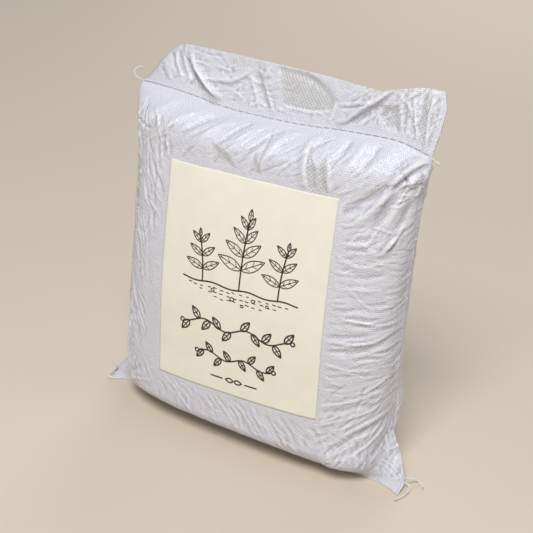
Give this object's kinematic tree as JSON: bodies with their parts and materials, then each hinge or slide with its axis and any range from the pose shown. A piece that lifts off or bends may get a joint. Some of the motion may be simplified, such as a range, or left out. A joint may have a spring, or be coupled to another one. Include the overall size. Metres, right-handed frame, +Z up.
{
  "type": "compost bag",
  "caption": "Filled woven plastic sack of potting compost, sewn shut below an open collar, with a paper label on its front.",
  "frame": {"origin": "on the floor under the middle of the sack, on its flat base", "axes": "+Z up, -Y out of the labelled front, +X to the right as seen from the front"},
  "size_m": [0.3918, 0.1246, 0.4157],
  "materials": {
    "woven_fabric": "semi-gloss white laminated weave",
    "label_paper": "matte",
    "sewing_thread": "matte"
  },
  "bodies": {
    "root": {"sack": "woven_fabric", "front_label": "label_paper", "seam_needle_thread": "sewing_thread", "seam_looper_chain": "sewing_thread", "thread_tail_top_left": "sewing_thread", "thread_tail_top_right": "sewing_thread", "thread_loop_bottom_left": "sewing_thread", "thread_tail_bottom_right_upper": "sewing_thread", "thread_tail_bottom_right_lower": "sewing_thread"}
  },
  "joints": []
}
